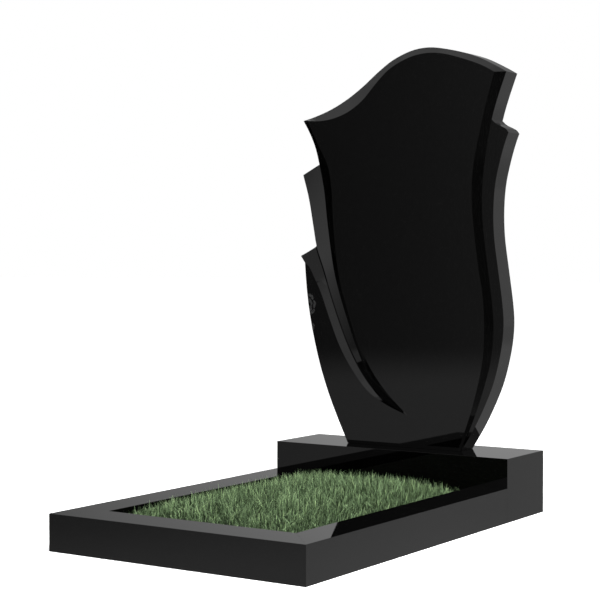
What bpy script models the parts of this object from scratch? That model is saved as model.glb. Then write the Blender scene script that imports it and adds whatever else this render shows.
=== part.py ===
"""Polished black granite grave monument.

A carved stele stands on a low base block. A kerb of three rails runs forward from the base and
encloses a bed of turf. The stele is one slab: its front is carved into a broad main panel that
flows into a leaf at the lower left, with a sickle-shaped hollow between them, a middle leaf behind
that hollow and a sunk layer at the right.

Units are metres, +Z is up and the front looks along -Y. The origin is on the ground, under the
middle of the whole plot.
"""

import math

import bmesh
import bpy
from mathutils import Vector

# Plot: base block, kerb and turf
PLOT_WIDTH = 0.660
KERB_LENGTH = 0.857
KERB_HEIGHT = 0.082
SIDE_RAIL_WIDTH = 0.086
FRONT_RAIL_WIDTH = 0.094
BASE_DEPTH = 0.198
BASE_HEIGHT = 0.152
TURF_EDGE_DROP = 0.012
TURF_CROWN = 0.040

# Stele
STELE_HEIGHT = 0.993
STELE_THICKNESS = 0.070
RELIEF_DEPTH = 0.011
LEAF_STEP = 0.005
LEAF_TIP_DEPTH = 0.002

# Fits: stone on stone, and the turf inside the kerb
JOINT_GAP = 0.0003
TURF_GAP = 0.001

# Worked out from the sizes above
PLOT_LENGTH = KERB_LENGTH + BASE_DEPTH
FRONT_Y = -PLOT_LENGTH / 2
BASE_FRONT_Y = FRONT_Y + KERB_LENGTH
BASE_BACK_Y = BASE_FRONT_Y + BASE_DEPTH
STELE_FRONT_Y = (BASE_FRONT_Y + BASE_BACK_Y - STELE_THICKNESS) / 2
STELE_BACK_Y = STELE_FRONT_Y + STELE_THICKNESS
STELE_FOOT_Z = BASE_HEIGHT + JOINT_GAP

# The carving is drawn on a sheet where the stele is this high. A point is its distance from the
# middle of the base and its height over the stele's foot.
DRAWN_HEIGHT = 993.0

# Outer edge of the slab, in stretches, from the foot at the left to the foot at the right
LEAF_LEFT = [(-154, 0), (-182, 57), (-212, 124), (-237, 193), (-256, 262), (-269, 322),
             (-279, 388), (-285, 461)]
LOWER_SHOULDER = [(-299, 479), (-277, 491), (-259, 502)]
UPPER_SHOULDER = [(-294, 689), (-269, 701), (-247, 715)]
TOP_OUTER = [(-296, 830), (-262, 838), (-213, 854), (-164, 877), (-116, 907), (-69, 942), (-26, 969),
             (30, 989), (76, 993), (128, 985), (202, 964), (260, 936), (288, 920)]
RIGHT_SHOULDER = [(249, 807), (260, 797), (276, 789), (288, 782), (294, 774)]
RIGHT_OUTER = [(294, 774), (285, 751), (271, 705), (259, 652), (254, 590), (256, 525), (267, 445),
               (279, 360), (282, 312), (276, 253), (257, 175), (239, 129), (207, 64), (168, 0)]

# Edges of the front face, and of the leaf that runs out of it
FACE_TOP = [(-277, 829), (-246, 826), (-213, 828), (-180, 835), (-147, 848), (-109, 873),
            (-86, 896), (-62, 920), (-39, 940), (-16, 954), (27, 971), (72, 978), (119, 974),
            (184, 955), (230, 937), (261, 920)]
FACE_RIGHT = [(261, 920), (250, 883), (238, 842), (223, 782), (207, 711), (201, 653), (201, 615),
              (205, 560), (220, 444), (230, 390), (235, 325), (235, 277), (231, 226), (221, 175),
              (197, 90), (164, 0)]
FACE_LEFT = [(-277, 829), (-241, 759), (-216, 714), (-204, 655), (-198, 560), (-185, 447),
             (-172, 393), (-145, 318), (-111, 236), (-79, 183), (-38, 134), (22, 80)]
LEAF_RIGHT = [(-285, 461), (-273, 452), (-254, 419), (-237, 387), (-209, 317), (-176, 243),
              (-136, 182), (-92, 134), (-38, 103), (22, 80)]

# Foot of each slope, at the full depth of the relief, and the edge of the middle leaf. The number
# after each is the place of the point where it meets a shoulder of the outer edge.
SLOPE_FOOT_LEFT = [(-296, 830), (-277, 798), (-260, 761), (-247, 715), (-233, 650), (-222, 560),
                   (-204, 447), (-189, 391), (-163, 317), (-136, 248), (-98, 177), (-67, 147),
                   (22, 80)]
SLOPE_FOOT_LEFT_MEETS = 3
SLOPE_FOOT_RIGHT = [(288, 920), (275, 886), (263, 853), (249, 807), (234, 731), (225, 660),
                    (223, 615), (226, 550), (240, 444), (250, 370), (255, 301), (248, 226),
                    (235, 175), (206, 90), (167, 0)]
SLOPE_FOOT_RIGHT_MEETS = 3
MIDDLE_LEAF_EDGE = [(-294, 689), (-277, 630), (-261, 546), (-253, 505), (-230, 444), (-212, 391),
                    (-183, 315), (-153, 248), (-115, 185), (-76, 139), (-34, 107), (22, 80)]
MIDDLE_LEAF_EDGE_MEETS = 3

# On the drawing: the hollow rises to the front face over this length before its tip, and the
# middle leaf's edge is cut at a slant, with its foot this far to the side and down
HOLLOW_RUN_OUT = 220.0
STEP_FOOT_SHIFT = Vector((-6.0, -3.0))

# How finely the curves are divided
STEPS_PER_SPAN = 8
SHORT_STEPS = 6
MIDDLE_STEPS = 14
LONG_STEPS = 34
FULL_STEPS = 48

# The turf's mound: how square its slopes are to the sides and to the ends, and its division
MOUND_POWER_X = 3
MOUND_POWER_Y = 6
TURF_CELLS_X = 10
TURF_CELLS_Y = 14

# A crease stays sharp in the shading above this angle
CREASE = math.radians(11)

# Colours, for looking at the bare model
GRANITE_COLOUR = (0.006, 0.006, 0.0065, 1.0)
GRANITE_ROUGHNESS = 0.05
TURF_COLOUR = (0.09, 0.13, 0.045, 1.0)
TURF_ROUGHNESS = 0.9


def clear_scene():
    """Remove what the scene holds at the start."""
    for item in list(bpy.data.objects):
        bpy.data.objects.remove(item, do_unlink=True)


def make_collection(name):
    """A collection for the monument's pieces."""
    collection = bpy.data.collections.new(name)
    bpy.context.scene.collection.children.link(collection)
    return collection


def make_material(name, colour, roughness):
    """A plain material of one colour."""
    material = bpy.data.materials.new(name)
    material.use_nodes = True
    shader = material.node_tree.nodes["Principled BSDF"]
    shader.inputs["Base Color"].default_value = colour
    shader.inputs["Roughness"].default_value = roughness
    shader.inputs["Metallic"].default_value = 0.0
    return material


def make_block(name, low, high, material, collection):
    """A box between two corners, with its size in the mesh and its middle as its origin."""
    middle = [(a + b) / 2 for a, b in zip(low, high)]
    bpy.ops.mesh.primitive_cube_add(size=1.0, location=middle)
    block = bpy.context.active_object
    block.name = name
    block.data.name = name
    for vertex in block.data.vertices:
        vertex.co = [part * (b - a) for part, a, b in zip(vertex.co, low, high)]
    for owner in list(block.users_collection):
        owner.objects.unlink(block)
    collection.objects.link(block)
    block.data.materials.append(material)
    return block


def make_rail(name, plan, material, collection):
    """A kerb rail: its outline in plan, raised to the kerb's height."""
    data = bpy.data.curves.new(name, "CURVE")
    data.dimensions = "2D"
    data.fill_mode = "BOTH"
    data.extrude = KERB_HEIGHT / 2
    spline = data.splines.new("POLY")
    spline.points.add(len(plan) - 1)
    for point, (x, y) in zip(spline.points, plan):
        point.co = (x, y, 0.0, 1.0)
    spline.use_cyclic_u = True
    data.materials.append(material)
    rail = bpy.data.objects.new(name, data)
    rail.location.z = KERB_HEIGHT / 2
    collection.objects.link(rail)
    weld = rail.modifiers.new("join caps", "WELD")
    weld.merge_threshold = 0.00005
    return rail


def make_kerb(material, collection):
    """Three rails that meet in mitres at the front corners and end against the base block."""
    outer_x = PLOT_WIDTH / 2
    inner_x = outer_x - SIDE_RAIL_WIDTH
    inner_y = FRONT_Y + FRONT_RAIL_WIDTH
    back_y = BASE_FRONT_Y - JOINT_GAP
    make_rail("kerb_front", [(-outer_x, FRONT_Y), (outer_x, FRONT_Y), (inner_x, inner_y),
                             (-inner_x, inner_y)], material, collection)
    for name, side in (("kerb_left", -1), ("kerb_right", 1)):
        plan = [(side * outer_x, FRONT_Y + JOINT_GAP), (side * outer_x, back_y),
                (side * inner_x, back_y), (side * inner_x, inner_y + JOINT_GAP)]
        make_rail(name, plan, material, collection)


def make_turf(material, collection):
    """The bed inside the kerb: flat below, and mounded above like grass on heaped soil."""
    half_x = PLOT_WIDTH / 2 - SIDE_RAIL_WIDTH - TURF_GAP
    front_y = FRONT_Y + FRONT_RAIL_WIDTH + TURF_GAP
    back_y = BASE_FRONT_Y - TURF_GAP
    half_y = (back_y - front_y) / 2
    mesh = bmesh.new()
    bmesh.ops.create_grid(mesh, x_segments=TURF_CELLS_X, y_segments=TURF_CELLS_Y, size=1.0)
    for vertex in mesh.verts:
        across, along = vertex.co.x, vertex.co.y
        mound = (1 - abs(across) ** MOUND_POWER_X) * (1 - abs(along) ** MOUND_POWER_Y)
        vertex.co = (across * half_x, (front_y + back_y) / 2 + along * half_y,
                     KERB_HEIGHT - TURF_EDGE_DROP + TURF_CROWN * mound)
    sunk = bmesh.ops.extrude_face_region(mesh, geom=mesh.faces[:])["geom"]
    for vertex in [item for item in sunk if isinstance(item, bmesh.types.BMVert)]:
        vertex.co.z = 0.0
    bmesh.ops.recalc_face_normals(mesh, faces=mesh.faces)
    data = bpy.data.meshes.new("turf_bed")
    mesh.to_mesh(data)
    mesh.free()
    data.materials.append(material)
    turf = bpy.data.objects.new("turf_bed", data)
    collection.objects.link(turf)
    return turf


def spline_point(before, start, end, after, share):
    """A point of a centripetal Catmull-Rom span, at a share of the way from start to end."""
    t1 = math.sqrt((start - before).length)
    t2 = t1 + math.sqrt((end - start).length)
    t3 = t2 + math.sqrt((after - end).length)
    t = t1 + (t2 - t1) * share
    a = before.lerp(start, t / t1)
    b = start.lerp(end, (t - t1) / (t2 - t1))
    c = end.lerp(after, (t - t2) / (t3 - t2))
    d = a.lerp(b, t / t2)
    e = b.lerp(c, (t - t1) / (t3 - t1))
    return d.lerp(e, (t - t1) / (t2 - t1))


def smooth(points):
    """Many points on a smooth curve through a few, the same number in each span."""
    knots = [Vector(point) for point in points]
    knots.insert(0, 2 * knots[0] - knots[1])
    knots.append(2 * knots[-1] - knots[-2])
    line = []
    for index in range(1, len(knots) - 2):
        for step in range(STEPS_PER_SPAN):
            line.append(spline_point(*knots[index - 1:index + 3], step / STEPS_PER_SPAN))
    line.append(knots[-2])
    return line


def distances(line):
    """How far along a line each of its points is."""
    result = [0.0]
    for start, end in zip(line, line[1:]):
        result.append(result[-1] + (end - start).length)
    return result


def divide(line, steps):
    """The same line, divided into equal steps."""
    along = distances(line)
    result = []
    span = 0
    for step in range(steps + 1):
        target = along[-1] * step / steps
        while span < len(line) - 2 and along[span + 1] < target:
            span += 1
        share = (target - along[span]) / (along[span + 1] - along[span])
        result.append(line[span].lerp(line[span + 1], share))
    return result


def curve(points, steps):
    """A smooth curve through a few points, divided into equal steps."""
    return divide(smooth(points), steps)


def two_curves(points, meets, steps_before, steps_after):
    """A smooth curve divided into equal steps on each side of one of its points."""
    line = smooth(points)
    middle = meets * STEPS_PER_SPAN
    return divide(line[:middle + 1], steps_before), divide(line[middle:], steps_after)


def placed(line, depths):
    """Drawn points set in the model, each at its own depth behind the front face."""
    scale = STELE_HEIGHT / DRAWN_HEIGHT
    return [Vector((point.x * scale, STELE_FRONT_Y + depth, STELE_FOOT_Z + point.y * scale))
            for point, depth in zip(line, depths)]


def level(line, depth):
    """Drawn points set at one depth."""
    return placed(line, [depth] * len(line))


def slanted(line, start_depth, end_depth):
    """Drawn points whose depth changes evenly along the line."""
    steps = len(line) - 1
    return placed(line, [start_depth + (end_depth - start_depth) * index / steps
                         for index in range(steps + 1)])


def running_out(line, depth, shift=Vector((0.0, 0.0))):
    """Drawn points at one depth, moved by a shift, that rise and close up at the hollow's tip."""
    along = distances(line)
    shares = [math.sqrt(min(1.0, (along[-1] - distance) / HOLLOW_RUN_OUT)) for distance in along]
    moved = [point + shift * share for point, share in zip(line, shares)]
    return placed(moved, [depth * share for share in shares])


def behind(line):
    """The same points at the back of the slab."""
    return [Vector((point.x, STELE_BACK_Y, point.z)) for point in line]


def add_face(mesh, points):
    """One face, leaving out a point that repeats its neighbour."""
    kept = [point for index, point in enumerate(points) if (point - points[index - 1]).length > 1e-7]
    mesh.faces.new([mesh.verts.new(point) for point in kept])


def add_loft(mesh, line_a, line_b):
    """A surface between two lines that have the same number of points."""
    for index in range(len(line_a) - 1):
        add_face(mesh, [line_a[index], line_a[index + 1], line_b[index + 1], line_b[index]])


def add_fan(mesh, apex, line):
    """A surface between a point and a line."""
    for start, end in zip(line, line[1:]):
        add_face(mesh, [apex, start, end])


def make_stele(material, collection):
    """The carved slab, as one closed skin of lofts between its edges."""
    leaf_depth = RELIEF_DEPTH - LEAF_STEP

    # Slopes at the left: main panel, middle leaf and lower leaf, which end in the hollow's tip
    foot_upper, foot_lower = two_curves(SLOPE_FOOT_LEFT, SLOPE_FOOT_LEFT_MEETS, MIDDLE_STEPS,
                                        MIDDLE_STEPS + LONG_STEPS)
    foot_upper = level(foot_upper, RELIEF_DEPTH)
    foot_lower = running_out(foot_lower, RELIEF_DEPTH)
    face_left = level(curve(FACE_LEFT, len(foot_upper) + len(foot_lower) - 2), 0.0)
    edge_upper, edge_lower = two_curves(MIDDLE_LEAF_EDGE, MIDDLE_LEAF_EDGE_MEETS, MIDDLE_STEPS,
                                        LONG_STEPS)
    step_foot = running_out(edge_lower, RELIEF_DEPTH, STEP_FOOT_SHIFT)
    edge_upper = level(edge_upper, leaf_depth)
    edge_lower = running_out(edge_lower, leaf_depth)
    leaf_right = level(curve(LEAF_RIGHT, LONG_STEPS), 0.0)

    # Slopes at the top and at the right
    top_outer = level(curve(TOP_OUTER, FULL_STEPS), RELIEF_DEPTH)
    face_top = level(curve(FACE_TOP, FULL_STEPS), 0.0)
    neck_upper, neck_lower = two_curves(SLOPE_FOOT_RIGHT, SLOPE_FOOT_RIGHT_MEETS, SHORT_STEPS,
                                        FULL_STEPS)
    neck_upper = level(neck_upper, RELIEF_DEPTH)
    neck_lower = level(neck_lower, RELIEF_DEPTH)
    face_right = level(curve(FACE_RIGHT, SHORT_STEPS + FULL_STEPS), 0.0)

    # The rest of the outer edge
    leaf_left = level(curve(LEAF_LEFT, MIDDLE_STEPS), 0.0)
    leaf_tip = slanted([Vector(LEAF_LEFT[-1]), Vector(LOWER_SHOULDER[0])], 0.0, LEAF_TIP_DEPTH)
    lower_shoulder = slanted(curve(LOWER_SHOULDER, SHORT_STEPS), LEAF_TIP_DEPTH, RELIEF_DEPTH)
    upper_shoulder = slanted(curve(UPPER_SHOULDER, SHORT_STEPS), leaf_depth, RELIEF_DEPTH)
    right_shoulder = level(curve(RIGHT_SHOULDER, MIDDLE_STEPS), RELIEF_DEPTH)
    right_outer = level(curve(RIGHT_OUTER, FULL_STEPS), RELIEF_DEPTH)

    # Carved front
    mesh = bmesh.new()
    add_loft(mesh, face_top, top_outer)
    add_loft(mesh, face_left, foot_upper + foot_lower[1:])
    add_loft(mesh, face_right, neck_upper + neck_lower[1:])
    add_loft(mesh, edge_upper + edge_lower[1:], foot_lower)
    add_fan(mesh, foot_lower[0], upper_shoulder[:-1])
    add_loft(mesh, edge_lower, step_foot)
    add_loft(mesh, leaf_right, step_foot)
    add_fan(mesh, leaf_right[0], lower_shoulder)
    add_face(mesh, face_top + face_right[1:] + leaf_left + leaf_right[1:] + face_left[-2:0:-1])
    add_face(mesh, neck_lower + right_outer[::-1] + right_shoulder[-2:0:-1])

    # Sides, back and foot
    step_end = [step_foot[0], edge_lower[0]]
    sides = [leaf_left, leaf_tip, lower_shoulder, step_end, edge_upper[::-1], upper_shoulder,
             foot_upper[::-1], top_outer, neck_upper, right_shoulder, right_outer]
    for side in sides:
        add_loft(mesh, side, behind(side))
    outline = [point for side in sides for point in behind(side)]
    add_face(mesh, outline)
    add_face(mesh, [leaf_left[0], face_right[-1], neck_lower[-1], right_outer[-1], outline[-1],
                    outline[0]])

    bmesh.ops.remove_doubles(mesh, verts=mesh.verts, dist=1e-6)
    bmesh.ops.recalc_face_normals(mesh, faces=mesh.faces)
    bmesh.ops.triangulate(mesh, faces=mesh.faces)
    data = bpy.data.meshes.new("stele")
    mesh.to_mesh(data)
    mesh.free()
    data.shade_smooth()
    data.set_sharp_from_angle(angle=CREASE)
    data.materials.append(material)
    stele = bpy.data.objects.new("stele", data)
    collection.objects.link(stele)
    return stele


def make_monument():
    """All the pieces, each where it stands."""
    collection = make_collection("granite_monument")
    half_width = PLOT_WIDTH / 2
    make_stele(make_material("stele_granite", GRANITE_COLOUR, GRANITE_ROUGHNESS), collection)
    make_block("base_block", (-half_width, BASE_FRONT_Y, 0.0),
               (half_width, BASE_BACK_Y, BASE_HEIGHT),
               make_material("base_granite", GRANITE_COLOUR, GRANITE_ROUGHNESS), collection)
    make_kerb(make_material("kerb_granite", GRANITE_COLOUR, GRANITE_ROUGHNESS), collection)
    make_turf(make_material("turf", TURF_COLOUR, TURF_ROUGHNESS), collection)


clear_scene()
make_monument()
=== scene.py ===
"""Looks of a polished black granite grave monument with a bed of turf inside its kerb."""

import math

import bmesh
import bpy
import numpy as np
from mathutils import Matrix, Vector, noise
from mathutils.bvhtree import BVHTree


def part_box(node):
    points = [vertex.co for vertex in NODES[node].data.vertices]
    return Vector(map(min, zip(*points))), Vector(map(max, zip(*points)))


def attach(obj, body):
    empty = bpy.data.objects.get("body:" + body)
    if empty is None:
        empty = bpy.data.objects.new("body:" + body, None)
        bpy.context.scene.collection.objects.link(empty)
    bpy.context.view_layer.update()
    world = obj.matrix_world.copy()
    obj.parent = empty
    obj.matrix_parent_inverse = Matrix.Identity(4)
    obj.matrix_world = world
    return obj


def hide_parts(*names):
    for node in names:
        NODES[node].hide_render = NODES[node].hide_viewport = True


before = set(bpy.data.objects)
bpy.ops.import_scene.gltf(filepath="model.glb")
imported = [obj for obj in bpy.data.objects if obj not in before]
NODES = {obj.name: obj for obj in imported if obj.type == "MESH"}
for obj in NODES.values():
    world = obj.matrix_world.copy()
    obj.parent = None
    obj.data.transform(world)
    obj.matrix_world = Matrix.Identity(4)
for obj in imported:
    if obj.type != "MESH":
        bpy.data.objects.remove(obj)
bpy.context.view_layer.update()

# Camera: where it stands, how it looks and its lens on a 36 mm sensor
CAMERA_PLACE = (1.97725, -2.99942, 0.63217)
CAMERA_TURN = math.radians(33.878)
CAMERA_DIP = math.radians(1.6245)
CAMERA_ROLL = math.radians(-0.0906)
CAMERA_LENS = 94.08
SENSOR = 36.0

# Stone: how wide its edges are broken, in metres, and up to which angle that rounds two faces into
# each other. Then how close points are one point, which angles are one plane and which a crease,
# the angle and the least area of the stele's flat parts, and its crystals and clouds to a metre.
ARRIS = 0.0004
ARRIS_REACH = math.radians(50)
WELD = 0.00002
SAME_PLANE = math.radians(0.2)
CREASE = math.radians(7.2)
FLAT = math.radians(0.3)
FLAT_AREA = 0.003
CRYSTALS = 700.0
CLOUDS = 9.0

# The top of the lower leaf's flank is polished in one sweep and shades as one plane. Heights over
# the stele's foot where that begins, where it is full and where the flank ends, the farthest that
# its small corner faces reach towards the middle, and the way that the plane faces.
SWEEP_START = 0.395
SWEEP_FULL = 0.432
SWEEP_END = 0.507
SWEEP_SIDE = -0.248
SWEEP_FACING = Vector((0.33, -0.93, 0.150)).normalized()

# Soil: the height of its edge, the rise of its mound and its roughness, in metres. The powers say
# how square the mound's slopes are to the sides and to the ends, and its front end keeps a share of
# its height. Then come its cells, and its clods and crumbs to a metre.
TURF_LOW, TURF_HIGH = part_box("turf_bed")
TURF_MIDDLE = (TURF_LOW + TURF_HIGH) / 2
TURF_HALF = (TURF_HIGH - TURF_LOW) / 2
KERB_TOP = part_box("kerb_front")[1].z
SOIL_EDGE = KERB_TOP - 0.040
SOIL_CROWN = 0.041
SOIL_ROUGHNESS = 0.004
MOUND_POWER_X = 3.8
MOUND_POWER_Y = 7
FRONT_SHARE = 0.45
SOIL_CELLS_X = 90
SOIL_CELLS_Y = 140
SOIL_CREASE = math.radians(50)
CLODS = 60.0
CRUMBS = 220.0

# Grass: blades in each layer, and the shares of the bed's width and length that they grow on. How
# deep they are rooted, and their least, usual and greatest length in each layer, are in metres.
BLADE_COUNT = 27000
GROWN_WIDTH = 0.985
GROWN_LENGTH = 0.992
ROOT_DEPTH = 0.002
LONG_BLADES = (0.012, 0.027, 0.044)
SHORT_BLADES = (0.008, 0.016, 0.028)
LONG_SEED = 11
SHORT_SEED = 12

# One blade: its least and greatest width in metres, the spread and the limit of its lean in radians,
# the share of the lean that it has at the root and the range of what it gains to the tip, how late
# it narrows, and the shares of its length at which it has points
BLADE_WIDTH = (0.0008, 0.0017)
BLADE_LEAN = 1.15
GREATEST_LEAN = 1.4
ROOT_LEAN = 0.35
BLADE_CURL = (0.2, 0.9)
BLADE_TAPER = 1.6
BLADE_LEVELS = (0.0, 0.4, 0.75, 1.0)

# Etched flower on the lower leaf, in metres from the middle of the base and from the stele's foot.
# Each petal: the middle of its arc, its inner and outer radius, and where it starts and ends, in
# degrees. Then its steps along and rows across, the height of its ruffles and their number in a
# full turn, its height over the stone, and the etching's dots to a metre.
FLOWER = (-0.284, 0.352)
FLOWER_LEAF = (-0.270, 0.297)
PETALS = [
    (FLOWER, 0.0245, 0.0325, -72, -22), (FLOWER, 0.0245, 0.0325, -18, 24),
    (FLOWER, 0.0245, 0.0330, 28, 78), (FLOWER, 0.0145, 0.0225, -66, -6),
    (FLOWER, 0.0145, 0.0225, -1, 62), (FLOWER_LEAF, 0.0085, 0.0145, -45, 45),
]
PETAL_STEPS = 24
PETAL_ROWS = 4
PETAL_RUFFLE = 0.0012
RUFFLES = 9
ETCHING_LIFT = 0.00012
ETCHING_DOTS = 420.0

# Studio: the floor's side and glow, the brightness of the white dome over it, and the soft light's
# place, what it points at, its side and its power in watts
FLOOR_SIDE = 60.0
FLOOR_GLOW = 0.72
DOME = 0.4
LIGHT_PLACE = Vector((1.3, -0.5, 2.5))
LIGHT_AIM = Vector((0.0, 0.0, 0.2))
LIGHT_SIDE = 1.2
LIGHT_POWER = 188.0

# Studio, as mirrored in the stone: brightness by degrees of turn from the front (-Y) towards +X.
# The ground is below, then each band of the walls begins between two heights, in degrees.
GROUND = [(-180, 0.38), (-155, 0.36), (-140, 0.20), (-128, 0.03), (-105, 0.0), (-65, 0.02), (-50, 0.24),
          (-43, 0.42), (-38, 0.46), (-34, 0.50), (-26, 0.50), (-16, 0.3), (-6, 0.08), (16, 0.05),
          (49, 0.09), (66, 0.13), (100, 0.30), (130, 0.48), (147, 0.54), (152, 0.53), (157, 0.46),
          (161, 0.41), (171, 0.36), (180, 0.36)]
WALLS = [
    (-12.0, -9.0, [(-180, 0.42), (-155, 0.38), (-140, 0.20), (-128, 0.03), (-105, 0.0), (-60, 0.02),
                   (-48, 0.20), (-41, 0.24), (-37, 0.30), (-34, 0.34), (-26, 0.42), (-16, 0.25),
                   (-6, 0.08), (8, 0.05), (60, 0.06), (100, 0.28), (130, 0.44), (147, 0.48),
                   (151, 0.46), (154, 0.39), (157, 0.40), (180, 0.42)]),
    (-4.8, -3.2, [(-180, 0.46), (-155, 0.45), (-150, 0.42), (-147, 0.395), (-145, 0.35), (-143, 0.31),
                  (-137, 0.19), (-128, 0.03), (-60, 0.0), (-39, 0.02), (-36, 0.070), (-30, 0.12),
                  (-25.5, 0.19), (-22.5, 0.6), (-20, 0.8), (-18, 0.9), (-13, 0.84), (-9, 0.61),
                  (-6, 0.39), (0, 0.2), (6, 0.05), (14, 0.03), (60, 0.04), (100, 0.30), (130, 0.44),
                  (180, 0.46)]),
    (7.2, 9.2, [(-180, 0.42), (-155, 0.45), (-150, 0.42), (-146, 0.355), (-142, 0.28), (-138, 0.21),
                (-128, 0.04), (-60, 0.0), (-39, 0.02), (-36, 0.070), (-26, 0.18), (-20, 0.6),
                (-10, 0.55), (-5, 0.34), (0, 0.22), (9, 0.22), (14, 0.03), (60, 0.04),
                (100, 0.30), (180, 0.42)]),
    (12.0, 14.5, [(-180, 0.28), (-165, 0.2), (-150, 0.28), (-128, 0.3), (-95, 0.4), (-70, 0.6),
                  (-55, 0.8), (-30, 0.6), (-10, 0.4), (0, 0.44), (6, 0.48), (9, 0.6), (14, 0.75),
                  (60, 0.8), (160, 0.6), (180, 0.28)]),
    (15.4, 16.2, [(-180, 0.28), (-165, 0.2), (-150, 0.28), (-128, 0.4), (-95, 0.45), (-67, 0.66),
                  (-55, 0.85), (-40, 0.7), (-33, 0.03), (-11, 0.03), (-7, 0.4), (0, 0.44), (6, 0.48),
                  (9, 0.6), (14, 0.75), (60, 0.8), (160, 0.6), (180, 0.28)]),
    (17.9, 18.4, [(-180, 0.27), (-165, 0.2), (-150, 0.27), (-128, 0.4), (-87, 0.48), (-67, 0.66),
                  (-55, 0.85), (-40, 0.7), (-33, 0.03), (8, 0.03), (9.5, 0.56), (20, 0.6),
                  (30, 0.7), (60, 0.8), (160, 0.6), (180, 0.27)]),
    (27.0, 29.0, [(-180, 0.85), (-130, 0.6), (-87, 0.50), (-55, 0.88), (-40, 0.8), (-33, 0.03),
                  (4, 0.03), (7, 0.85), (24, 0.66), (36, 0.66), (60, 0.85), (180, 0.85)]),
    (33.0, 35.0, [(-180, 0.85), (-130, 0.6), (-87, 0.50), (-55, 0.88), (0, 0.9), (24, 0.7),
                  (36, 0.7), (60, 0.85), (180, 0.85)]),
    (42.0, 45.0, [(-180, 0.9), (-95, 0.6), (-79, 0.69), (-50, 0.9), (-40, 0.6), (-30, 0.02), (15, 0.02),
                  (19, 0.76), (26, 0.84), (60, 0.8), (180, 0.9)]),
    (67.0, 71.0, [(-180, 1.0), (-80, 0.8), (-38, 0.93), (0, 0.9), (20, 0.5), (60, 0.5), (100, 1.0),
                  (180, 1.0)]),
]


def socket(shader, name, value):
    """Set one of a shader's own values."""
    shader.inputs[name].default_value = value


class Graph:
    """Short forms for adding and joining shader nodes."""

    def __init__(self, tree):
        self.tree = tree
        self.nodes = tree.nodes
        self.nodes.clear()

    def add(self, kind, **settings):
        """A new node with these settings."""
        node = self.nodes.new(kind)
        for name, value in settings.items():
            setattr(node, name, value)
        return node

    def join(self, source, target):
        """Link an output to an input."""
        self.tree.links.new(source, target)

    def math(self, operation, first, second=None):
        """The result of an operation on one or two links or numbers."""
        node = self.add("ShaderNodeMath", operation=operation)
        for index, value in enumerate((first, second)):
            if value is None:
                continue
            if isinstance(value, (int, float)):
                node.inputs[index].default_value = value
            else:
                self.join(value, node.inputs[index])
        return node.outputs[0]

    def smooth_step(self, value, low, high):
        """0 up to the low value, 1 from the high one and a soft rise between them."""
        node = self.add("ShaderNodeMapRange", interpolation_type="SMOOTHSTEP")
        self.join(value, node.inputs["Value"])
        node.inputs["From Min"].default_value = low
        node.inputs["From Max"].default_value = high
        return node.outputs["Result"]

    def ramp(self, value, stops):
        """A value turned into a grey or a colour, through stops of a place and a grey or colour."""
        node = self.add("ShaderNodeValToRGB")
        ramp = node.color_ramp
        while len(ramp.elements) > 1:
            ramp.elements.remove(ramp.elements[-1])
        for index, (place, colour) in enumerate(stops):
            element = ramp.elements[0] if index == 0 else ramp.elements.new(place)
            element.position = place
            if isinstance(colour, (int, float)):
                colour = (colour, colour, colour)
            element.color = (*colour, 1.0)
        self.join(value, node.inputs["Fac"])
        return node.outputs["Color"]

    def mix(self, share, first, second, blend="MIX"):
        """Two colours mixed or blended, where each value is a link, a number or a colour."""
        node = self.add("ShaderNodeMix", data_type="RGBA", blend_type=blend)
        for name, value in (("Factor", share), ("A", first), ("B", second)):
            target = [item for item in node.inputs if item.name == name and item.enabled][0]
            if isinstance(value, (int, float)):
                target.default_value = value
            elif isinstance(value, tuple):
                target.default_value = (*value, 1.0)
            else:
                self.join(value, target)
        return [item for item in node.outputs if item.enabled][0]


def new_material(name):
    """A material with its shader, and the short forms for its other nodes."""
    material = bpy.data.materials.new(name)
    material.use_nodes = True
    graph = Graph(material.node_tree)
    shader = graph.add("ShaderNodeBsdfPrincipled")
    output = graph.add("ShaderNodeOutputMaterial")
    graph.join(shader.outputs[0], output.inputs["Surface"])
    return material, graph, shader


def granite_material(name):
    """Black granite: fine dark crystals with a few lighter ones, under a mirror polish."""
    material, graph, shader = new_material(name)
    place = graph.add("ShaderNodeTexCoord").outputs["Object"]
    crystals = graph.add("ShaderNodeTexVoronoi", feature="F1")
    crystals.inputs["Scale"].default_value = CRYSTALS
    graph.join(place, crystals.inputs["Vector"])
    pick = graph.add("ShaderNodeSeparateColor")
    graph.join(crystals.outputs["Color"], pick.inputs[0])
    colour = graph.ramp(pick.outputs[0], [(0.0, 0.0001), (0.55, 0.0003), (0.93, 0.0007), (1.0, 0.0016)])
    graph.join(colour, shader.inputs["Base Color"])
    clouds = graph.add("ShaderNodeTexNoise")
    clouds.inputs["Scale"].default_value = CLOUDS
    clouds.inputs["Detail"].default_value = 5.0
    graph.join(place, clouds.inputs["Vector"])
    polish = graph.ramp(clouds.outputs["Fac"], [(0.3, 0.016), (0.7, 0.034)])
    graph.join(polish, shader.inputs["Roughness"])
    socket(shader, "IOR", 1.5)
    return material


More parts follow.
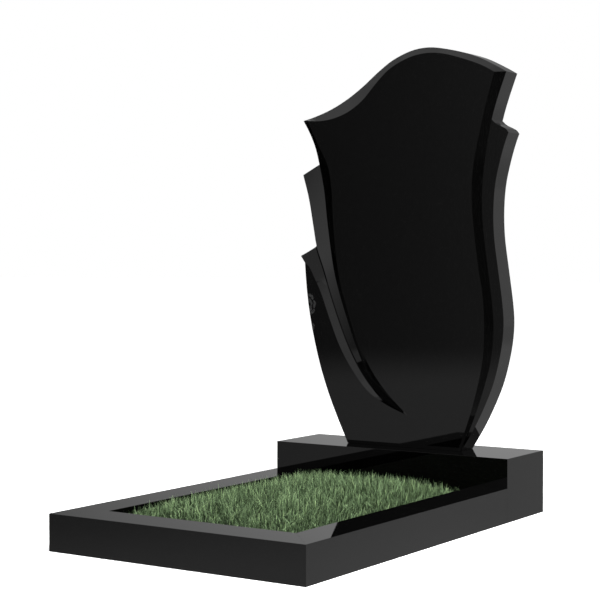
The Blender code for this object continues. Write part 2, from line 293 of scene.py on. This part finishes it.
def soil_material():
    """Dark crumbly soil with dead grass on it."""
    material, graph, shader = new_material("soil")
    place = graph.add("ShaderNodeTexCoord").outputs["Object"]
    crumbs = graph.add("ShaderNodeTexNoise")
    crumbs.inputs["Scale"].default_value = CRUMBS
    crumbs.inputs["Detail"].default_value = 6.0
    graph.join(place, crumbs.inputs["Vector"])
    colour = graph.ramp(crumbs.outputs["Fac"], [(0.3, (0.004, 0.006, 0.003)), (0.6, (0.012, 0.018, 0.008)),
                                                (0.8, (0.03, 0.04, 0.016))])
    graph.join(colour, shader.inputs["Base Color"])
    bump = graph.add("ShaderNodeBump")
    bump.inputs["Strength"].default_value = 0.6
    bump.inputs["Distance"].default_value = 0.002
    graph.join(crumbs.outputs["Fac"], bump.inputs["Height"])
    graph.join(bump.outputs[0], shader.inputs["Normal"])
    socket(shader, "Roughness", 0.95)
    return material


def grass_material():
    """Blades of slightly greyed green, with painted shade that darkens them towards the root, each a
    little different.
    """
    material, graph, shader = new_material("grass")
    blade = graph.add("ShaderNodeAttribute", attribute_name="blade")
    parts = graph.add("ShaderNodeSeparateColor")
    graph.join(blade.outputs["Color"], parts.inputs[0])
    # Painted shade: each blade goes from a light tip to nearly black at its root, standing in for the
    # shade deep among the blades
    along = graph.ramp(parts.outputs[0], [(0.0, (0.008, 0.014, 0.006)), (0.4, (0.060, 0.098, 0.043)),
                                          (1.0, (0.200, 0.290, 0.150))])
    kind = graph.ramp(parts.outputs[1], [(0.0, (0.08, 0.10, 0.08)), (0.4, (0.30, 0.34, 0.30)),
                                         (0.6, (0.88, 0.88, 0.88)), (0.85, (2.05, 2.05, 2.10)),
                                         (1.0, (3.0, 2.8, 2.7))])
    graph.join(graph.mix(1.0, along, kind, blend="MULTIPLY"), shader.inputs["Base Color"])
    socket(shader, "Roughness", 0.55)
    socket(shader, "IOR", 1.35)
    return material


def add_piece(name, mesh, material, slot_name, *replaced):
    """Put a mesh in the scene as a piece of the monument."""
    piece = bpy.data.objects.new(name, mesh)
    bpy.context.scene.collection.objects.link(piece)
    piece.data.materials.clear()
    piece.data.materials.append(material)
    if replaced:
        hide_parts(*replaced)
    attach(piece, "root")
    return piece


def is_joint_face(face):
    """Whether a kerb rail meets another stone at this face: at a mitre or at the base block."""
    at_mitre = abs(face.normal.x) > 0.1 and abs(face.normal.y) > 0.1
    at_base = face.normal.y > 0.9 and face.calc_center_median().y > 0
    return at_mitre or at_base


def corner_normals(mesh):
    """Shading normals by area, so that big faces stay flat and only the arris between them is round."""
    normals = []
    for face in mesh.faces:
        for corner in face.loops:
            total = Vector()
            for other in corner.vert.link_faces:
                if other.normal.angle(face.normal) < ARRIS_REACH:
                    total += other.normal * other.calc_area()
            normals.append(total.normalized())
    return normals


def polished_stone(node, name, slot_name, joints=False):
    """A stone with the CAD node's form, its edges broken by a fine arris."""
    mesh = bmesh.new()
    mesh.from_mesh(NODES[node].data)
    bmesh.ops.remove_doubles(mesh, verts=mesh.verts, dist=WELD)
    bmesh.ops.dissolve_limit(mesh, angle_limit=SAME_PLANE, verts=mesh.verts, edges=mesh.edges)
    edges = []
    for edge in mesh.edges:
        if edge.calc_face_angle(0.0) < CREASE:
            continue
        if joints and any(is_joint_face(face) for face in edge.link_faces):
            continue
        edges.append(edge)
    bmesh.ops.bevel(mesh, geom=edges, offset=ARRIS, segments=2, profile=0.5, affect="EDGES",
                    clamp_overlap=True)
    bmesh.ops.triangulate(mesh, faces=[face for face in mesh.faces if len(face.verts) > 4])
    data = bpy.data.meshes.new(name)
    normals = corner_normals(mesh)
    mesh.to_mesh(data)
    mesh.free()
    data.shade_smooth()
    data.normals_split_custom_set(normals)
    return add_piece(name, data, granite_material(name + "_stone"), slot_name, node)


def flat_parts(mesh):
    """The faces that lie in one plane with their neighbours over a large area."""
    mesh.faces.ensure_lookup_table()
    flat = set()
    seen = set()
    for start in mesh.faces:
        if start in seen:
            continue
        part = [start]
        seen.add(start)
        for face in part:
            for edge in face.edges:
                for other in edge.link_faces:
                    if other not in seen and other.normal.angle(start.normal) < FLAT:
                        seen.add(other)
                        part.append(other)
        if sum(face.calc_area() for face in part) > FLAT_AREA:
            flat.update(part)
    return flat


def sweep_shoulder(data):
    """Shade the small faces at the top of the lower leaf's flank as one plane."""
    low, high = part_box("stele")
    normals = [Vector(corner.vector) for corner in data.corner_normals]
    for face in data.polygons:
        # The flank is slanted, close to the front, and neither flat on it nor steep
        on_front = low.y - WELD < face.center.y < low.y + (high.y - low.y) / 4
        in_reach = SWEEP_START < face.center.z - low.z < SWEEP_END and face.center.x < 0
        slanted = face.normal.x > 0.05 and -0.9999 < face.normal.y < -0.5
        if not (on_front and in_reach and slanted):
            continue
        # The small faces that turn least to the right belong to it only at its outer end
        if face.normal.x < 0.25 and face.center.x > SWEEP_SIDE:
            continue
        for corner in face.loop_indices:
            height = data.vertices[data.loops[corner].vertex_index].co.z - low.z
            share = min(1.0, max(0.0, (height - SWEEP_START) / (SWEEP_FULL - SWEEP_START)))
            normals[corner] = normals[corner].lerp(SWEEP_FACING, share).normalized()
    data.normals_split_custom_set(normals)


def polished_stele():
    """The carved slab: flat faces, smooth slopes and sharp creases between them."""
    mesh = bmesh.new()
    mesh.from_mesh(NODES["stele"].data)
    bmesh.ops.remove_doubles(mesh, verts=mesh.verts, dist=WELD)
    flat = flat_parts(mesh)
    for face in mesh.faces:
        face.smooth = True
    for edge in mesh.edges:
        sides = [face in flat for face in edge.link_faces]
        edge.smooth = edge.calc_face_angle(0.0) < CREASE and len(set(sides)) == 1
    data = bpy.data.meshes.new("carved_stele")
    mesh.to_mesh(data)
    mesh.free()
    sweep_shoulder(data)
    return add_piece("carved_stele", data, granite_material("stele_stone"), "stele_granite", "stele")


def etching_material():
    """Stone that has lost its polish: a flat light grey, a little mottled."""
    material, graph, shader = new_material("etching")
    place = graph.add("ShaderNodeTexCoord").outputs["Object"]
    dots = graph.add("ShaderNodeTexNoise")
    dots.inputs["Scale"].default_value = ETCHING_DOTS
    graph.join(place, dots.inputs["Vector"])
    colour = graph.ramp(dots.outputs["Fac"], [(0.35, 0.004), (0.65, 0.030)])
    graph.join(colour, shader.inputs["Base Color"])
    socket(shader, "Roughness", 0.9)
    socket(shader, "Specular IOR Level", 0.1)
    return material


def add_petal(mesh, foot, middle, inner, outer, start, end):
    """A petal between two arcs, with ruffled edges."""
    rows = []
    for step in range(PETAL_STEPS + 1):
        share = step / PETAL_STEPS
        angle = math.radians(start + (end - start) * share)
        ruffle = PETAL_RUFFLE * math.sin(RUFFLES * angle)
        # Under half the width at either end of the arc
        taper = math.sin(math.pi * (0.06 + 0.88 * share)) ** 0.5
        row = []
        for place in range(PETAL_ROWS + 1):
            radius = (inner + outer) / 2 + ruffle + (outer - inner) * taper * (place / PETAL_ROWS - 0.5)
            point = Vector((middle[0] + radius * math.cos(angle), foot.y - ETCHING_LIFT,
                            foot.z + middle[1] + radius * math.sin(angle)))
            row.append(mesh.verts.new(point))
        rows.append(row)
    for row, other in zip(rows, rows[1:]):
        for a, b, c, d in zip(row, row[1:], other[1:], other):
            mesh.faces.new((a, b, c, d))


def etched_flower():
    """The part of an etched flower that lies on the leaf."""
    mesh = bmesh.new()
    for petal in PETALS:
        add_petal(mesh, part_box("stele")[0], *petal)
    stone = NODES["stele"].data
    skin = BVHTree.FromPolygons([vertex.co for vertex in stone.vertices],
                                [face.vertices[:] for face in stone.polygons])
    off_stone = []
    for vertex in mesh.verts:
        hit = skin.ray_cast(vertex.co, Vector((0, 1, 0)))
        if hit[0] is None or hit[3] > 2 * ETCHING_LIFT:
            off_stone.append(vertex)
    bmesh.ops.delete(mesh, geom=off_stone, context="VERTS")
    data = bpy.data.meshes.new("etched_flower")
    mesh.to_mesh(data)
    mesh.free()
    return add_piece("etched_flower", data, etching_material(), None)


def mound(across, along):
    """Height of the turf's mound, from 0 at its edge to 1, at shares of its half width and length."""
    drop = np.where(along < 0, 1 - FRONT_SHARE, 1.0)
    return (1 - np.abs(across) ** MOUND_POWER_X) * (1 - drop * np.abs(along) ** MOUND_POWER_Y)


def soil_height(across, along):
    """Height of the soil over the ground, without its clods."""
    return SOIL_EDGE + SOIL_CROWN * mound(across, along)


def soil_bed():
    """The soil under the grass."""
    mesh = bmesh.new()
    bmesh.ops.create_grid(mesh, x_segments=SOIL_CELLS_X, y_segments=SOIL_CELLS_Y, size=1.0)
    for vertex in mesh.verts:
        across, along = vertex.co.x, vertex.co.y
        x = TURF_MIDDLE.x + TURF_HALF.x * across
        y = TURF_MIDDLE.y + TURF_HALF.y * along
        rough = noise.fractal((x * CLODS, y * CLODS, 0.0), 1.0, 2.0, 4)
        vertex.co = (x, y, float(soil_height(across, along)) + SOIL_ROUGHNESS * rough)
    sunk = bmesh.ops.extrude_face_region(mesh, geom=mesh.faces[:])["geom"]
    for vertex in [item for item in sunk if isinstance(item, bmesh.types.BMVert)]:
        vertex.co.z = TURF_LOW.z
    bmesh.ops.recalc_face_normals(mesh, faces=mesh.faces)
    data = bpy.data.meshes.new("soil_bed")
    mesh.to_mesh(data)
    mesh.free()
    data.shade_smooth()
    data.set_sharp_from_angle(angle=SOIL_CREASE)
    return add_piece("soil_bed", data, soil_material(), "turf", "turf_bed")


def blade_points(lengths, chance):
    """Points of every blade: a pair across it at each level, and one point at its tip."""
    across = chance.uniform(-GROWN_WIDTH, GROWN_WIDTH, BLADE_COUNT)
    along = chance.uniform(-GROWN_LENGTH, GROWN_LENGTH, BLADE_COUNT)
    root = np.stack([TURF_MIDDLE.x + TURF_HALF.x * across, TURF_MIDDLE.y + TURF_HALF.y * along,
                     soil_height(across, along) - ROOT_DEPTH], axis=1)
    length = chance.triangular(*lengths, BLADE_COUNT)
    width = chance.uniform(*BLADE_WIDTH, BLADE_COUNT)
    facing = chance.uniform(0, 2 * math.pi, BLADE_COUNT)
    lean_to = chance.uniform(0, 2 * math.pi, BLADE_COUNT)
    lean = np.abs(chance.normal(0.0, BLADE_LEAN, BLADE_COUNT)).clip(0, GREATEST_LEAN)
    curl = chance.uniform(*BLADE_CURL, BLADE_COUNT)
    side = np.stack([np.cos(facing), np.sin(facing), np.zeros(BLADE_COUNT)], axis=1)
    tilt = np.stack([np.cos(lean_to), np.sin(lean_to), np.zeros(BLADE_COUNT)], axis=1)
    up = np.array([0.0, 0.0, 1.0])
    points = []
    for level in BLADE_LEVELS:
        angle = lean * (ROOT_LEAN + curl * level)
        rise = (np.cos(angle) * length * level)[:, None] * up
        drift = (np.sin(angle) * length * level)[:, None] * tilt
        centre = root + rise + drift
        spread = (width * (1 - level ** BLADE_TAPER) / 2)[:, None] * side
        if level < 1:
            points += [centre - spread, centre + spread]
        else:
            points.append(centre)
    return np.stack(points, axis=1)


def blade_faces(per_blade):
    """Faces of every blade: quads between its pairs of points, and a triangle at its tip."""
    base = np.arange(BLADE_COUNT) * per_blade
    tip = per_blade - 3
    faces = []
    for low in range(0, tip, 2):
        faces += np.stack([base + low, base + low + 1, base + low + 3, base + low + 2], 1).tolist()
    faces += np.stack([base + tip, base + tip + 1, base + tip + 2], 1).tolist()
    return faces


def grass(name, lengths, seed, material):
    """A layer of grass, each blade a thin bent strip that narrows to its tip."""
    chance = np.random.default_rng(seed)
    points = blade_points(lengths, chance)
    per_blade = points.shape[1]
    data = bpy.data.meshes.new(name)
    data.from_pydata(points.reshape(-1, 3).tolist(), [], blade_faces(per_blade))
    # For the material: how far along its blade a point lies, and how bright the blade is
    colours = np.zeros((BLADE_COUNT * per_blade, 4), np.float32)
    colours[:, 0] = np.tile(np.repeat(BLADE_LEVELS, 2)[:-1], BLADE_COUNT)
    colours[:, 1] = np.repeat(chance.uniform(0, 1, BLADE_COUNT), per_blade)
    colours[:, 3] = 1.0
    attribute = data.color_attributes.new("blade", "FLOAT_COLOR", "POINT")
    attribute.data.foreach_set("color", colours.ravel())
    data.shade_smooth()
    blades = add_piece(name, data, material, "turf")
    # The polish mirrors the dark soil, without the blades
    blades.visible_glossy = False
    return blades


def studio_world():
    """White to the camera and soft white light, with a studio of dim and bright walls in reflections."""
    world = bpy.data.worlds.new("studio")
    bpy.context.scene.world = world
    world.use_nodes = True
    graph = Graph(world.node_tree)
    direction = graph.add("ShaderNodeSeparateXYZ")
    graph.join(graph.add("ShaderNodeTexCoord").outputs["Generated"], direction.inputs[0])
    x, y, z = direction.outputs
    height = graph.math("MULTIPLY", graph.math("ARCSINE", z), 180 / math.pi)
    turn = graph.math("ARCTAN2", x, graph.math("MULTIPLY", y, -1.0))
    turn = graph.math("ADD", graph.math("DIVIDE", turn, 2 * math.pi), 0.5)

    def around(stops):
        """The brightness all around, at one height."""
        return graph.ramp(turn, [((angle + 180) / 360, value) for angle, value in stops])

    studio = around(GROUND)
    for low, high, stops in WALLS:
        studio = graph.mix(graph.smooth_step(height, low, high), studio, around(stops))
    path = graph.add("ShaderNodeLightPath")
    dome = graph.mix(path.outputs["Is Camera Ray"], (DOME, DOME, DOME), (1.0, 1.0, 1.0))
    seen = graph.mix(path.outputs["Is Glossy Ray"], dome, studio)
    background = graph.add("ShaderNodeBackground")
    graph.join(seen, background.inputs["Color"])
    output = graph.add("ShaderNodeOutputWorld")
    graph.join(background.outputs[0], output.inputs["Surface"])


def studio_floor():
    """A plain pale floor."""
    bpy.ops.mesh.primitive_plane_add(size=FLOOR_SIDE)
    floor = bpy.context.active_object
    floor.name = "floor"
    material, graph, shader = new_material("floor")
    socket(shader, "Base Color", (0.9, 0.9, 0.9, 1.0))
    socket(shader, "Roughness", 1.0)
    socket(shader, "Specular IOR Level", 0.0)
    socket(shader, "Emission Color", (1.0, 1.0, 1.0, 1.0))
    socket(shader, "Emission Strength", FLOOR_GLOW)
    floor.data.materials.append(material)
    floor.visible_glossy = False


def studio_light():
    """A soft light from above, for the turf and the floor."""
    data = bpy.data.lights.new("soft_light", "AREA")
    data.shape = "RECTANGLE"
    data.size = LIGHT_SIDE
    data.size_y = LIGHT_SIDE
    data.energy = LIGHT_POWER
    light = bpy.data.objects.new("soft_light", data)
    light.location = LIGHT_PLACE
    light.rotation_euler = (LIGHT_AIM - LIGHT_PLACE).to_track_quat("-Z", "Y").to_euler()
    light.visible_glossy = False
    light.visible_camera = False
    bpy.context.scene.collection.objects.link(light)


def place_camera():
    """The photograph's view."""
    data = bpy.data.cameras.new("camera")
    data.lens = CAMERA_LENS
    data.sensor_width = SENSOR
    data.clip_end = 200.0
    camera = bpy.data.objects.new("camera", data)
    turn = (Matrix.Rotation(CAMERA_TURN, 4, "Z") @ Matrix.Rotation(math.pi / 2 - CAMERA_DIP, 4, "X")
            @ Matrix.Rotation(CAMERA_ROLL, 4, "Z"))
    camera.matrix_world = Matrix.Translation(CAMERA_PLACE) @ turn
    bpy.context.scene.collection.objects.link(camera)
    bpy.context.scene.camera = camera


place_camera()
studio_world()
studio_floor()
studio_light()
bpy.context.scene.view_settings.view_transform = "Standard"

polished_stele()
polished_stone("base_block", "base_stone", "base_granite")
for side in ("kerb_left", "kerb_right", "kerb_front"):
    polished_stone(side, side + "_stone", "kerb_granite", joints=True)
etched_flower()
soil_bed()
blade_material = grass_material()
grass("grass_blades", LONG_BLADES, LONG_SEED, blade_material)
grass("grass_undergrowth", SHORT_BLADES, SHORT_SEED, blade_material)
